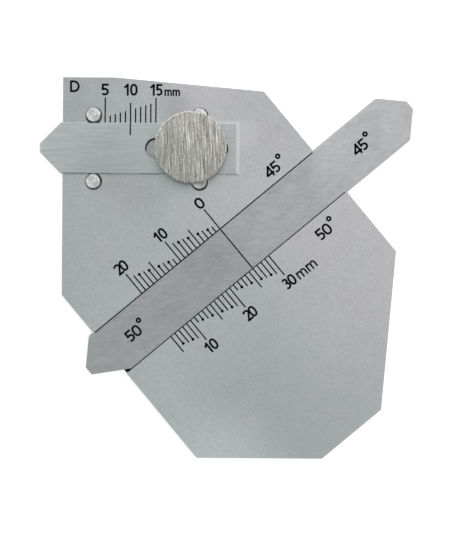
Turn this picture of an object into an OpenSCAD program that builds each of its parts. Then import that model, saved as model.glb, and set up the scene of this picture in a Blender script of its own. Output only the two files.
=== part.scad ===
// Weld gauge: a flat plate with a dovetailed slide set across it at an angle, and a depth slide
// that lies on its front face between four guide pins under a knurled thumb nut.
// The origin is on the back face, under the crossing of the throat slide's centreline and its index
// line. +X runs to the right, +Y up the plate and +Z out of its engraved front face.

/* [Plate] */
// Thickness of the plate
plate_t = 2.5; // [2.2:0.1:4]
// Distance of the left edge from the origin
plate_left = 34.43; // [33:0.1:38]
// Distance of the short flat top edge from the origin
plate_top = 33.63; // [33:0.01:35]
// Distance of the bottom edge from the origin
plate_bottom = 41.3; // [36:0.1:46]
// Distance of the lower right edge from the throat slide's centreline
plate_lower_right = 42.66; // [38:0.02:46]
// Distance of the end cut at the slide's nose from the index line
plate_nose_cut = 23.96; // [22:0.02:27]
// Distance of the end cut at the slide's heel from the index line
plate_heel_cut = 32.37; // [30:0.1:34]
// Distance from the index line to the corner where the two measuring edges would meet
corner_reach = 44.41; // [42:0.01:47]
// Width of the small bevel that breaks each sharp edge
edge_break = 0.05; // [0.03:0.01:0.3]

/* [Throat slide] */
// Angle of the throat slide to the X axis
slide_angle = 40; // [38:0.5:42]
// Width of the throat slide's front face
slide_w = 9.94; // [8:0.02:11]
// How much wider each bevelled flank makes the slide at its base
slide_flank = 0.38; // [0.2:0.02:0.6]
// Thickness of the throat slide
slide_t = 1.12; // [0.9:0.01:1.3]
// Width of the flat at the slide's pointed nose
nose_flat = 1.94; // [1:0.02:3]
// Distance from the index line to the flat at the slide's heel
heel_reach = 37.83; // [36:0.1:40]
// Width of the flat at the slide's heel
heel_flat = 1.84; // [1:0.02:3]
// Angle of the heel's long bevelled side to the slide
heel_angle = 30.7; // [28:0.1:40]
// Clearance beside the slide and under it
slide_gap = 0.03; // [0.02:0.01:0.06]
// Thickness of the black liner strip that the slide runs on
liner_t = 0.15; // [0.1:0.01:0.25]

/* [Spring and stop] */
// Length of the bowed leaf spring under the slide
spring_length = 14; // [10:0.5:16]
// Width of the leaf spring
spring_w = 4.5; // [3:0.1:5]
// Thickness of the leaf spring
spring_t = 0.15; // [0.1:0.01:0.2]
// Depth of the spring's pocket below the groove floor
pocket_depth = 0.5; // [0.3:0.05:0.7]
// Diameter of the stop pin under the slide
stop_pin_d = 1.5; // [1:0.1:2]
// How far the stop pin stands into the slide
stop_pin_rise = 0.5; // [0.3:0.05:0.6]

/* [Depth slide] */
// Distance of the depth slide's centreline above the origin
depth_y = 19.61; // [19:0.1:20.5]
// Width of the depth slide
depth_w = 10; // [8:0.1:10.5]
// Thickness of the depth slide
depth_t = 1.2; // [0.8:0.1:2]
// Distance of the depth slide's nose from the origin
depth_nose = 38.86; // [37:0.1:42]
// Width of the flat at the depth slide's nose
depth_flat = 1.74; // [1:0.02:3]
// Distance of the depth slide's square end past the origin
depth_end = 0.45; // [0:0.05:1.5]
// Width of the bevel across the depth slide's square end
depth_end_bevel = 0.6; // [0.2:0.05:0.8]
// Bevel along the depth slide's other front edges
depth_break = 0.12; // [0.04:0.02:0.3]
// Width of the depth slide's slot
slot_w = 4.15; // [4.1:0.05:5]
// Play left in the slot when the depth slide is pushed right out
slot_play_out = 0.15; // [0.1:0.05:1]
// Play left in the slot when the depth slide is drawn right in
slot_play_in = 1.98; // [0.2:0.02:2.2]
// Distance of the depth slide's index line from the origin
depth_index = 21.08; // [20.8:0.02:21.6]
// Length of the depth slide's index line
depth_index_length = 2.42; // [1:0.02:3]
// Clearance between the depth slide and its guides
depth_gap = 0.03; // [0.01:0.01:0.05]

/* [Guide pins] */
// Diameter of the guide pins
pin_d = 3; // [2.4:0.1:3.2]
// Height of the guide pins above the depth slide
pin_proud = 0.2; // [0.1:0.05:0.4]
// Bevel round each end of a guide pin
pin_bevel = 0.2; // [0.05:0.05:0.4]
// Distance of the left pair of pins from the origin
pins_left = 28.3; // [27:0.1:29]
// Distance of the right pair of pins from the origin
pins_right = 7.41; // [7:0.1:8]
// Depth of the bevel round each guide pin's hole
pin_sink = 0.15; // [0.05:0.05:0.3]

/* [Clamp] */
// Diameter of the clamp stud
stud_d = 4; // [3:0.05:4]
// Diameter of the stud's countersunk rivet head in the back face
stud_head_d = 6; // [5:0.1:7]
// Depth of the stud's countersunk rivet head
stud_head_t = 0.9; // [0.6:0.05:1.2]
// Distance of the stud from the origin
stud_x = 9.07; // [8.8:0.01:9.5]
// Length of the stud inside the thumb nut
stud_hold = 3; // [2:0.1:3.4]
// Distance of the clamp washer's rim from the depth slide's edges
washer_margin = 0.2; // [0.1:0.05:0.8]
// Thickness of the clamp washer
washer_t = 0.5; // [0.3:0.05:1]
// Diameter of the thumb nut over its knurl
nut_d = 14.2; // [12:0.1:16]
// Height of the thumb nut's knurled head
nut_h = 4.7; // [4.2:0.1:7]
// Width of the washer's rim that is left clear round the boss under the thumb nut
washer_rim = 0.6; // [0.3:0.05:1]
// Height of the boss under the thumb nut
nut_boss_h = 0.4; // [0.2:0.05:0.8]
// Depth of the thumb nut's blind hole
nut_hole_depth = 3.9; // [3.6:0.1:4]
// Bevel round the thumb nut's top
nut_bevel = 0.35; // [0.1:0.05:0.6]
// Teeth of the knurl
knurl_teeth = 88; // [60:1:100]
// Depth of the knurl
knurl_depth = 0.22; // [0.1:0.02:0.3]
// Clearance of the nut and the washer round the stud
thread_gap = 0.05; // [0.02:0.01:0.08]

/* [Graduations] */
// Distance between two graduations
graduation_pitch = 1; // [0.9:0.05:1.1]
// Width of an engraved line
line_w = 0.2; // [0.1:0.02:0.3]
// Depth of an engraved line
line_depth = 0.08; // [0.04:0.02:0.12]
// Length of the shortest graduation
first_mark = 1.48; // [1:0.02:1.6]
// How much longer each next graduation is
mark_step = 0.3; // [0.1:0.05:0.35]
// Length of a middle graduation
middle_mark = 4.02; // [3:0.02:4.2]
// Length of a long graduation
long_mark = 5.06; // [4:0.02:5.5]
// Diameter of the dot at the tip of every even graduation
dot_d = 0.55; // [0.3:0.05:0.7]
// Highest reading of the upper throat scale, whose zero is at the index line
upper_last = 20; // [10:1:20]
// Lowest reading of the lower throat scale
lower_first = 5; // [5:1:10]
// Highest reading of the lower throat scale
lower_last = 30; // [28:1:30]
// Reading of the lower throat scale at the index line
lower_at_index = 26; // [25:1:27]
// Lowest reading of the depth scale
depth_first = 5; // [4:1:6]
// Highest reading of the depth scale
depth_last = 15; // [14:1:16]
// Reading of the depth scale at its index line
depth_at_index = 10; // [9:1:11]

/* [Hidden] */
$fn = 96;

steel = [0.69, 0.70, 0.70];
bright_steel = [0.83, 0.83, 0.83];
warm_steel = [0.66, 0.65, 0.62];
liner_black = [0.05, 0.05, 0.05];
spring_steel = [0.55, 0.55, 0.58];

// How far a cutting shape runs past the surface that it cuts
overrun = 1;
// Clearance of a pin or stud that is pressed or riveted into the plate
press_gap = 0.01;
// Both measuring edges and the noses' flanks stand at this angle to the slide that they serve
measuring_angle = 45;
// Gap between the leaf spring's crown and the slide, and between flat faces that lie on each other
rest_gap = 0.02;

// Throat slide, its groove and what lies under it
slide_half = slide_w / 2;
slide_base_half = slide_half + slide_flank;
flank_slope = slide_flank / slide_t;
groove_depth = slide_t + slide_gap + liner_t;
groove_floor = plate_t - groove_depth;
groove_half = slide_half + slide_gap;
groove_base_half = groove_half + flank_slope * groove_depth;
groove_rim_half = groove_half + (1 + flank_slope) * edge_break;
slide_base = groove_floor + liner_t + slide_gap;
liner_half = slide_base_half;
liner_inset = slide_gap;
pocket_floor = groove_floor - pocket_depth;
pocket_margin = 2 * spring_t;
spring_rise = slide_base - rest_gap - pocket_floor;
spring_radius = (pow(spring_length / 2, 2) + pow(spring_rise, 2)) / (2 * spring_rise);
// Share of the distance from the index line to the nose cut at which the spring's crown lies
spring_place_share = 0.5;
spring_u = plate_nose_cut * spring_place_share;

// Travel of the throat slide towards its nose and towards its heel
travel_out = (lower_last - lower_at_index) * graduation_pitch;
travel_in = (lower_at_index - lower_first) * graduation_pitch;
// The stop pin stands where its slot stays covered by the plate at both ends of the travel
stop_u = -(plate_heel_cut - travel_in) / 2 - stop_pin_d;
stop_slot_half = stop_pin_d / 2 + slide_gap;
stop_play = slide_gap;
stop_slot_depth = stop_pin_rise + 2 * slide_gap;

// Depth slide, its slot and its guides
depth_half = depth_w / 2;
depth_base = plate_t + rest_gap;
depth_top = depth_base + depth_t;
depth_travel_in = (depth_last - depth_at_index) * graduation_pitch;
depth_travel_out = (depth_at_index - depth_first) * graduation_pitch;
slot_start = -stud_x - depth_travel_in - slot_play_in;
slot_end = -stud_x + depth_travel_out + slot_play_out;
pin_y = depth_half + depth_gap + pin_d / 2;
pin_top = depth_top + pin_proud;

// Clamp, stacked up from the depth slide
washer_d = depth_w - 2 * washer_margin;
nut_boss_d = washer_d - 2 * washer_rim;
washer_base = depth_top + rest_gap;
nut_base = washer_base + washer_t + rest_gap;
nut_head_base = nut_base + nut_boss_h;
nut_top = nut_head_base + nut_h;
collar_d = nut_d - 3 * knurl_depth;
stud_top = nut_base + stud_hold;
nut_hole_d = stud_d + 2 * thread_gap;
stud_bevel = stud_d / 10;

// A straight edge is written as the direction of its outward normal and its distance from the origin
left_edge = [180, plate_left];
bottom_edge = [270, plate_bottom];
lower_right_edge = [slide_angle - 90, plate_lower_right];
right_edge = [slide_angle - measuring_angle, corner_reach * cos(measuring_angle)];
nose_cut_edge = [slide_angle, plate_nose_cut];
top_slope_edge = [slide_angle + measuring_angle, corner_reach * cos(measuring_angle)];
top_edge = [90, plate_top];
heel_cut_edge = [slide_angle + 180, plate_heel_cut];
plate_edges = [left_edge, heel_cut_edge, bottom_edge, lower_right_edge, right_edge,
    nose_cut_edge, top_slope_edge, top_edge];

// Point where two straight edges cross
function crossing(a, b) = [
    (a[1] * sin(b[0]) - b[1] * sin(a[0])) / sin(b[0] - a[0]),
    (b[1] * cos(a[0]) - a[1] * cos(b[0])) / sin(b[0] - a[0])
];

// Corners of the outline that a closed row of edges bounds, anticlockwise
function corners(edges) = [for (i = [0:len(edges) - 1]) crossing(edges[i], edges[(i + 1) % len(edges)])];

// Outline of the throat slide at a level where it is 2 * half wide, with its index line at zero
function throat_outline(half) = [
    [corner_reach, nose_flat / 2],
    [corner_reach - (half - nose_flat / 2) / tan(measuring_angle), half],
    [-heel_reach + (half - heel_flat / 2) / tan(measuring_angle), half],
    [-heel_reach, heel_flat / 2],
    [-heel_reach, -heel_flat / 2],
    [-heel_reach + (half - heel_flat / 2) / tan(heel_angle), -half],
    [corner_reach - (half - nose_flat / 2) / tan(measuring_angle), -half],
    [corner_reach, -nose_flat / 2]
];

// Outline of the depth slide
depth_outline = [
    [depth_end, depth_y - depth_half],
    [depth_end, depth_y + depth_half],
    [-depth_nose + (depth_w - depth_flat) / 2, depth_y + depth_half],
    [-depth_nose, depth_y + depth_flat / 2],
    [-depth_nose, depth_y - depth_flat / 2],
    [-depth_nose + (depth_w - depth_flat) / 2, depth_y - depth_half]
];

// Length of a graduation that stands a number of steps past the last numbered one
function stepped_mark(steps) = first_mark + mark_step * (steps - 1);

// Throat scales: long at the tens, middle at the fives, and rising in between
function throat_mark(reading) = reading % 10 == 0 ? long_mark
    : reading % 10 == 5 ? middle_mark
    : stepped_mark(reading % 10);

// Depth scale: long at both ends, middle at the centre, and rising from one end to the other
function depth_mark(reading) = reading == depth_at_index ? middle_mark
    : reading % 10 == 5 ? long_mark
    : stepped_mark(reading - depth_first);

// Wedge that takes the sharp edge off along one straight side of an anticlockwise outline
module edge_wedge(a, b, size) {
    side = b - a;
    translate([a[0], a[1], 0])
        rotate([0, 0, atan2(side[1], side[0])])
            translate([-overrun, 0, 0])
                rotate([90, 0, 90])
                    linear_extrude(norm(side) + 2 * overrun)
                        polygon([[-overrun, -size - overrun], [size + overrun, overrun], [-overrun, overrun]]);
}

// Wedges along every side of a convex outline
module edge_wedges(outline, size) {
    for (i = [0:len(outline) - 1])
        edge_wedge(outline[i], outline[(i + 1) % len(outline)], size);
}

// Straight bar along the throat slide's direction, with a section given as across and up
module throat_bar(start, end, section) {
    rotate([0, 0, slide_angle])
        translate([start, 0, 0])
            rotate([90, 0, 90])
                linear_extrude(end - start)
                    polygon(section);
}

// Tool that engraves one graduation down from its front face, running up the page
module graduation(length, dotted) {
    translate([-line_w / 2, 0, -line_depth])
        cube([line_w, dotted ? length - dot_d / 2 : length, line_depth + overrun]);
    if (dotted)
        translate([0, length - dot_d / 2, -line_depth])
            cylinder(d = dot_d, h = line_depth + overrun, $fn = 24);
}

// Upper throat scale, read from zero at the index line towards the heel
module upper_scale() {
    for (reading = [0:upper_last])
        translate([-reading * graduation_pitch, groove_half, 0])
            graduation(throat_mark(reading), reading % 2 == 0 && reading % 10 != 0);
}

// Lower throat scale, read from the heel towards the nose
module lower_scale() {
    for (reading = [lower_first:lower_last])
        translate([(reading - lower_at_index) * graduation_pitch, -groove_half, 0])
            rotate([0, 0, 180])
                graduation(throat_mark(reading), reading % 2 == 0 && reading % 10 != 0);
}

// Depth scale above the depth slide
module depth_scale() {
    for (reading = [depth_first:depth_last])
        translate([(reading - depth_at_index) * graduation_pitch - depth_index, depth_y + depth_half, 0])
            graduation(depth_mark(reading), false);
}

// Pocket for the leaf spring, with its crown at the origin
module spring_pocket(height) {
    translate([-spring_length / 2 - pocket_margin, -spring_w / 2 - pocket_margin, 0])
        cube([spring_length + 2 * pocket_margin, spring_w + 2 * pocket_margin, height]);
}

// Places its children along the throat slide
module along_throat(u) {
    rotate([0, 0, slide_angle])
        translate([u, 0, 0])
            children();
}

// Places its children at one guide pin, counted by side and row
module at_guide_pin(x, row) {
    translate([-x, depth_y + row * pin_y, 0])
        children();
}

// Hole for one guide pin, with a broken edge on the front face
module guide_pin_hole() {
    translate([0, 0, -overrun])
        cylinder(d = pin_d + 2 * press_gap, h = plate_t + 2 * overrun);
    translate([0, 0, plate_t - pin_sink])
        cylinder(d1 = pin_d + 2 * press_gap, d2 = pin_d + 2 * press_gap + 4 * pin_sink, h = 2 * pin_sink);
}

// Turned section of the stud, widened all round by a clearance
module stud_section(gap, top) {
    polygon([
        [0, -gap],
        [stud_head_d / 2 + gap, -gap],
        [stud_head_d / 2 + gap, 0],
        [stud_d / 2 + gap, stud_head_t],
        [stud_d / 2 + gap, top],
        [0, top]
    ]);
}

module body_plate() {
    outline = corners(plate_edges);
    color(steel)
        difference() {
            linear_extrude(plate_t) polygon(outline);
            translate([0, 0, plate_t]) edge_wedges(outline, edge_break);
            mirror([0, 0, 1]) edge_wedges(outline, edge_break);
            // Dovetail groove, with its two front edges broken
            throat_bar(-plate_heel_cut - overrun, plate_nose_cut + overrun, [
                [-groove_base_half, groove_floor],
                [groove_base_half, groove_floor],
                [groove_half + flank_slope * edge_break, plate_t - edge_break],
                [groove_rim_half + overrun, plate_t + overrun],
                [-groove_rim_half - overrun, plate_t + overrun],
                [-groove_half - flank_slope * edge_break, plate_t - edge_break]
            ]);
            along_throat(spring_u) translate([0, 0, pocket_floor]) spring_pocket(plate_t);
            along_throat(stop_u)
                translate([0, 0, -overrun])
                    cylinder(d = stop_pin_d + 2 * press_gap, h = plate_t + overrun, $fn = 48);
            for (row = [-1, 1]) {
                at_guide_pin(pins_left, row) guide_pin_hole();
                at_guide_pin(pins_right, row) guide_pin_hole();
            }
            translate([-stud_x, depth_y, 0])
                rotate_extrude() stud_section(press_gap, plate_t + overrun);
            translate([0, 0, plate_t]) {
                rotate([0, 0, slide_angle]) {
                    upper_scale();
                    lower_scale();
                }
                depth_scale();
            }
        }
}

// Black strip on the groove floor, with a window for the spring and a hole for the stop pin
module groove_liner() {
    color(liner_black)
        difference() {
            throat_bar(liner_inset - plate_heel_cut, plate_nose_cut - liner_inset, [
                [-liner_half, groove_floor],
                [liner_half, groove_floor],
                [liner_half, groove_floor + liner_t],
                [-liner_half, groove_floor + liner_t]
            ]);
            along_throat(spring_u) translate([0, 0, pocket_floor]) spring_pocket(plate_t);
            along_throat(stop_u)
                cylinder(d = stop_pin_d + 2 * slide_gap, h = plate_t, $fn = 48);
        }
}

// Leaf bowed to an arc, whose two ends rest in the pocket
module slide_spring() {
    color(spring_steel)
        along_throat(spring_u)
            intersection() {
                translate([0, 0, pocket_floor + spring_rise - spring_radius])
                    rotate([90, 0, 0])
                        difference() {
                            cylinder(r = spring_radius, h = spring_w, center = true, $fn = 1440);
                            cylinder(r = spring_radius - spring_t, h = spring_w + overrun, center = true,
                                $fn = 1440);
                        }
                translate([-spring_length / 2, -spring_w, pocket_floor])
                    cube([spring_length, 2 * spring_w, spring_rise + overrun]);
            }
}

// Pin pressed in from the back, which ends the throat slide's travel
module stop_pin() {
    color(bright_steel)
        along_throat(stop_u)
            cylinder(d = stop_pin_d, h = slide_base + stop_pin_rise, $fn = 48);
}

// Dovetailed bar with a measuring nose at one end and a bevelled heel at the other
module throat_slide() {
    front = throat_outline(slide_half);
    color(steel)
        difference() {
            intersection() {
                rotate([0, 0, slide_angle])
                    translate([0, 0, slide_base])
                        linear_extrude(slide_t) polygon(throat_outline(slide_base_half));
                throat_bar(-heel_reach - overrun, corner_reach + overrun, [
                    [-slide_base_half, slide_base],
                    [slide_base_half, slide_base],
                    [slide_half, plate_t],
                    [-slide_half, plate_t]
                ]);
            }
            rotate([0, 0, slide_angle])
                translate([0, 0, plate_t]) {
                    edge_wedges(front, edge_break / 2);
                    // Index line across the whole front face
                    translate([0, -slide_half - overrun, 0]) graduation(slide_w + 2 * overrun, false);
                }
            // Blind slot on the underside, for the stop pin
            along_throat(stop_u)
                translate([0, 0, slide_base - overrun]) {
                    translate([-travel_out - stop_play, -stop_slot_half, 0])
                        cube([travel_out + travel_in + 2 * stop_play, 2 * stop_slot_half,
                            stop_slot_depth + overrun]);
                    for (end = [-travel_out - stop_play, travel_in + stop_play])
                        translate([end, 0, 0])
                            cylinder(r = stop_slot_half, h = stop_slot_depth + overrun, $fn = 48);
                }
        }
}

// Flat bar with a pointed nose, a slot for the stud and a wide bevel across its square end
module depth_slide() {
    color(steel)
        difference() {
            translate([0, 0, depth_base])
                linear_extrude(depth_t) polygon(depth_outline);
            translate([0, 0, depth_top]) {
                edge_wedges(depth_outline, depth_break);
                edge_wedge(depth_outline[0], depth_outline[1], depth_end_bevel);
                translate([-depth_index, depth_y + depth_half + overrun, 0])
                    rotate([0, 0, 180]) graduation(depth_index_length + overrun, false);
            }
            translate([0, depth_y, plate_t - overrun]) {
                translate([slot_start, -slot_w / 2, 0])
                    cube([slot_end - slot_start, slot_w, depth_t + 2 * overrun]);
                for (end = [slot_start, slot_end])
                    translate([end, 0, 0])
                        cylinder(d = slot_w, h = depth_t + 2 * overrun);
            }
        }
}

// Straight pin pressed through the plate, with both ends bevelled
module guide_pin() {
    color(bright_steel)
        rotate_extrude()
            polygon([
                [0, 0],
                [pin_d / 2 - pin_bevel, 0],
                [pin_d / 2, pin_bevel],
                [pin_d / 2, pin_top - pin_bevel],
                [pin_d / 2 - pin_bevel, pin_top],
                [0, pin_top]
            ]);
}

// Stud riveted into a countersink in the back face, with its top end bevelled
module clamp_stud() {
    color(bright_steel)
        translate([-stud_x, depth_y, 0]) {
            rotate_extrude() stud_section(0, stud_top - stud_bevel);
            translate([0, 0, stud_top - stud_bevel])
                cylinder(d1 = stud_d, d2 = stud_d - 2 * stud_bevel, h = stud_bevel);
        }
}

module clamp_washer() {
    color(bright_steel)
        translate([-stud_x, depth_y, washer_base])
            difference() {
                cylinder(d = washer_d, h = washer_t);
                translate([0, 0, -overrun])
                    cylinder(d = nut_hole_d, h = washer_t + 2 * overrun);
            }
}

// Toothed outline of the knurl
module knurl_outline() {
    polygon([for (i = [0:2 * knurl_teeth - 1])
        let (r = nut_d / 2 - (i % 2) * knurl_depth)
            r * [cos(180 * i / knurl_teeth), sin(180 * i / knurl_teeth)]]);
}

// Bevelled collar at one end of the knurl, wide where it meets the teeth
module nut_collar() {
    cylinder(d1 = collar_d, d2 = collar_d - 2 * nut_bevel, h = nut_bevel);
}

// Closed thumb nut, turned with a boss below and knurled round its head between two collars
module thumb_nut() {
    color(warm_steel)
        translate([-stud_x, depth_y, 0])
            difference() {
                union() {
                    translate([0, 0, nut_base])
                        cylinder(d = nut_boss_d, h = nut_boss_h + nut_bevel);
                    translate([0, 0, nut_head_base + nut_bevel]) {
                        linear_extrude(nut_h - 2 * nut_bevel) knurl_outline();
                        mirror([0, 0, 1]) nut_collar();
                    }
                    translate([0, 0, nut_top - nut_bevel]) nut_collar();
                }
                translate([0, 0, nut_base - overrun])
                    cylinder(d = nut_hole_d, h = nut_hole_depth + overrun);
            }
}

body_plate();
groove_liner();
slide_spring();
stop_pin();
throat_slide();
depth_slide();
at_guide_pin(pins_left, 1) guide_pin();  // guide_pin_upper_left
at_guide_pin(pins_left, -1) guide_pin();  // guide_pin_lower_left
at_guide_pin(pins_right, 1) guide_pin();  // guide_pin_upper_right
at_guide_pin(pins_right, -1) guide_pin();  // guide_pin_lower_right
clamp_stud();
clamp_washer();
thumb_nut();
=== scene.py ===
"""Looks of the weld gauge: satin steel, black-filled scales and figures, knurled nut and stage."""

import math

import bpy
import numpy as np
from bpy.props import FloatProperty, FloatVectorProperty, IntProperty, PointerProperty
from bpy.types import Operator, Panel, PropertyGroup
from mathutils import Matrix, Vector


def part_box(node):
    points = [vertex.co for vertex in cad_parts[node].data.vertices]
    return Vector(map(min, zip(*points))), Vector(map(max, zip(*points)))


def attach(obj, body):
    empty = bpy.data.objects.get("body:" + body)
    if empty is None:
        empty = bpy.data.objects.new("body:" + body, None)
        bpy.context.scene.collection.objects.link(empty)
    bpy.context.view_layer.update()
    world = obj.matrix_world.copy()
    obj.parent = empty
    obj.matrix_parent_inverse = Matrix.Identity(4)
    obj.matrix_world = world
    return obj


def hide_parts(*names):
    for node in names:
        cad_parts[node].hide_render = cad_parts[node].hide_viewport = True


bl_info = {
    "name": "Weld gauge looks",
    "version": (1, 0, 0),
    "blender": (4, 5, 0),
    "location": "3D View > Sidebar > Weld gauge",
    "description": "Finishes a packed weld gauge: steel, scales, figures, knurl, light and camera",
    "category": "Object",
}

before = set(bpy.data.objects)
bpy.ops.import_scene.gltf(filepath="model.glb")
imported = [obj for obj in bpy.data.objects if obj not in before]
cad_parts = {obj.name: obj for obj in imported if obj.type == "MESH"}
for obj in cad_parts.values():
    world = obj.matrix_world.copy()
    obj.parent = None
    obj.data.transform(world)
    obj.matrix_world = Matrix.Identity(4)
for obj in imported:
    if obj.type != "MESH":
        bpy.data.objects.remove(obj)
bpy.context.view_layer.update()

MM = 0.001

# Bodies of the frame
BODY = "gauge_body"
THROAT_BAR = "throat_bar"
DEPTH_BAR = "depth_bar"
NUT = "nut"

# Layout of the gauge in millimetres, as its solids have it
SLIDE_ANGLE = math.radians(40)
PLATE_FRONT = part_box("body_plate")[1].z / MM
DEPTH_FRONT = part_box("depth_slide")[1].z / MM
DEPTH_LOW, DEPTH_HIGH = (corner.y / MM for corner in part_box("depth_slide"))
DEPTH_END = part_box("depth_slide")[1].x / MM
GROOVE_HALF = 5.0
GROOVE_EDGE_BREAK = 0.05
PLATE_NOSE_CUT = 23.96
PLATE_HEEL_CUT = 32.37
SLIDE_HALF = 4.97
DEPTH_CENTRE = 19.61
SLOT_ENDS = (-16.05, -3.92)
SLOT_RADIUS = 2.075
DEPTH_INDEX = -21.08
DEPTH_INDEX_LENGTH = 2.42
LINE_DEPTH = 0.08
FIRST_MARK = 1.48
MARK_STEP = 0.3
MIDDLE_MARK = 4.02
LONG_MARK = 5.06
DOT = 0.55
UPPER_READINGS = range(0, 21)
LOWER_READINGS = range(5, 31)
LOWER_AT_INDEX = 26
DEPTH_READINGS = range(5, 16)
DEPTH_AT_INDEX = 10

# How far paint stands above the face that it is on, and how far print reaches into it
PAINT_PROUD = 0.006
PRINT_DEPTH = 0.02
# Levels of the paint in engraved lines
PLATE_PAINT = (PLATE_FRONT - LINE_DEPTH / 2, PLATE_FRONT + PAINT_PROUD)
DEPTH_PAINT = (DEPTH_FRONT - LINE_DEPTH / 2, DEPTH_FRONT + PAINT_PROUD)
# How far an index line stops short of its slide's edges, and a depth graduation of the slide
INDEX_STOP = 0.05
SCALE_STOP = 0.01
# How far the depth slide's index line lies to the right of its graduation
INDEX_SHIFT = 0.03

# Radius of a guide pin's bright face
BRIGHT_RADIUS = 1.39
# Direction in degrees where each guide pin's black gap is widest; the widening is painted shadow
PIN_SHADOW_SIDES = {
    "guide_pin_upper_left": -95,
    "guide_pin_lower_left": 55,
    "guide_pin_upper_right": -50,
    "guide_pin_lower_right": -50,
}
# Width of that gap on average, how much it grows and shrinks round the pin, and how far its paint
# reaches in under the pin's rim and down into the plate
GAP_MEAN = 0.165
# The swing widens the black ring towards the pin's shadow: a real dark gap plus painted shadow
GAP_SHADOW_SWING = 0.065
GAP_INSET = 0.01
GAP_DEPTH = 0.1

# The black lines beside the throat slide are painted shade in the dark gap, drawn over the broken
# edges
# Black lines beside the throat slide: start past the groove's side, distance from the plate's cuts,
# and width of the lower one as a share of the upper one's
EDGE_INSET = 0.012
EDGE_STOP = 0.35
LOWER_EDGE_SHARE = 0.8

# Painted shadow on the slot's end walls: centre of the arc, first and last angle, thickness
SLOT_WALL_SHADOWS = ((SLOT_ENDS[0], 92, 192, 0.2), (SLOT_ENDS[1], -60, 60, 0.12))
SLOT_SHADOW_LEVELS = (DEPTH_FRONT - 1.1, DEPTH_FRONT - 0.06)
# Painted shadow as a black crescent on the front at the slot's right end: radius, first and last
# angle, width
SLOT_CRESCENT_SHADOW = (SLOT_RADIUS + 0.04, -38, 32, 0.12)

# Underside of the thumb nut: boss, hole and their broken edges
BOSS_HEIGHT = 0.4
BOSS_RADIUS = 4.2
BOSS_EDGE = 0.12
HOLE_RADIUS = 2.05
HOLE_DEPTH = 3.9
HOLE_EDGE = 0.15
# Mesh of the thumb nut: steps to a tooth, rows to a bevel and to the dome, and how far past a bevel
# the knurl's own rows stand
TOOTH_STEPS = 8
BEVEL_ROWS = 7
DOME_ROWS = 16
KNURL_INSET = 0.4
BRUSH_ANGLE = math.radians(93)

# Painted light and shade in soft spots on the steel: centre on the plate, radius, change at the
# centre
PLATE_LIGHT_AND_SHADE = (
    ((14.0, -29.0), 27.0, -0.07),
    ((-4.0, -46.0), 19.0, 0.26),
    ((-22.0, -19.0), 22.0, 0.07),
    # Painted shadow of the thumb nut at its upper left
    ((-12.3, 27.8), 4.6, -0.16),
    ((-19.0, 12.5), 10.0, -0.11),
    ((9.0, 31.0), 20.0, -0.09),
    ((1.5, 22.5), 4.0, 0.1),
    ((16.5, -18.0), 12.0, 0.045),
    ((-13.5, -30.6), 10.0, 0.05),
    ((-26.0, 13.5), 5.0, -0.08),
)
THROAT_LIGHT_AND_SHADE = (
    ((-26.0, -22.0), 17.0, 0.07),
    ((-6.2, -2.2), 9.0, -0.07),
    ((7.0, 5.0), 10.0, 0.07),
    ((18.0, 19.9), 8.0, 0.06),
)
DEPTH_LIGHT_AND_SHADE = (((-26.0, 16.0), 10.0, -0.1), ((-40.5, 19.6), 5.0, 0.09))
# Painted highlight on lengths of the depth slide's lower edge: middle and half length
LIT_EDGE_LENGTHS = ((-22.0, 3.6), (-1.9, 1.8))

# Directions in the picture towards which the light grows, and in which its low glow lies
UPPER_RIGHT = (0.78, 0.63, 0.0)
UPPER_LEFT = (-0.75, 0.66, 0.0)
# Least strength of the sky, and its colours at the lower left and the upper right
SKY_LEAST = 0.25
SKY_COOL = (0.93, 1.0, 1.0)
SKY_WARM = (1.06, 1.0, 1.0)
# Floor: half its width and its level in millimetres, its glow to the camera and in reflections
FLOOR_HALF = 900.0
FLOOR_LEVEL = -0.02
FLOOR_SEEN = 0.72
FLOOR_MIRRORED = 0.3
# Key lamp in metres
LAMP_SIZE = 0.22
LAMP_PLACE = (0.04, 0.3, 0.72)

# Factor that leaves out the height of a place
FLAT = (1.0, 1.0, 0.0)

# Labels of the plate and the throat slide: text, place along and across the slide, squeeze, gap
PLATE_LABELS = (
    ("0", 0.09, 11.57, 1.0, 0.0),
    ("10", -9.87, 11.62, 0.86, 0.2),
    ("20", -19.86, 11.66, 0.86, -0.2),
    ("10", -15.98, -11.56, 0.86, 0.2),
    ("20", -5.98, -11.52, 0.86, -0.2),
    ("30", 3.93, -11.62, 0.86, -0.04),
    ("45", 15.33, 7.56, 1.0, 0.0),
    ("50", 15.45, -8.37, 1.0, 0.06),
)
PLATE_DEGREES = ((17.88, 8.87), (17.79, -7.02))
SLIDE_LABELS = (("45", 31.47, -0.07, 1.0, 0.0), ("50", -26.24, 0.12, 1.0, 0.06))
SLIDE_DEGREES = ((33.94, 1.28), (-23.89, 1.46))
# Labels of the depth scale: text, place across and up the plate, squeeze, gap
DEPTH_LABELS = (
    ("5", -26.11, 31.22, 1.0, 0.0),
    ("10", -21.06, 31.22, 0.88, 0.24),
    ("15", -16.03, 31.22, 0.88, 0.26),
)
DEPTH_LETTER = (-32.1, 31.82)
# Degree rings: radius, and their stroke as a share of the figures' stroke
DEGREE_RADIUS = 0.365
DEGREE_SHARE = 0.93
# Units: place of the first stem's foot, height, width of an arch, gap between letters, stroke
THROAT_UNIT = (5.95, -12.79, 1.63, 0.905, 0.62, 0.35)
DEPTH_UNIT = (-14.27, 30.03, 1.28, 0.585, 0.43, 0.32)


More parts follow.
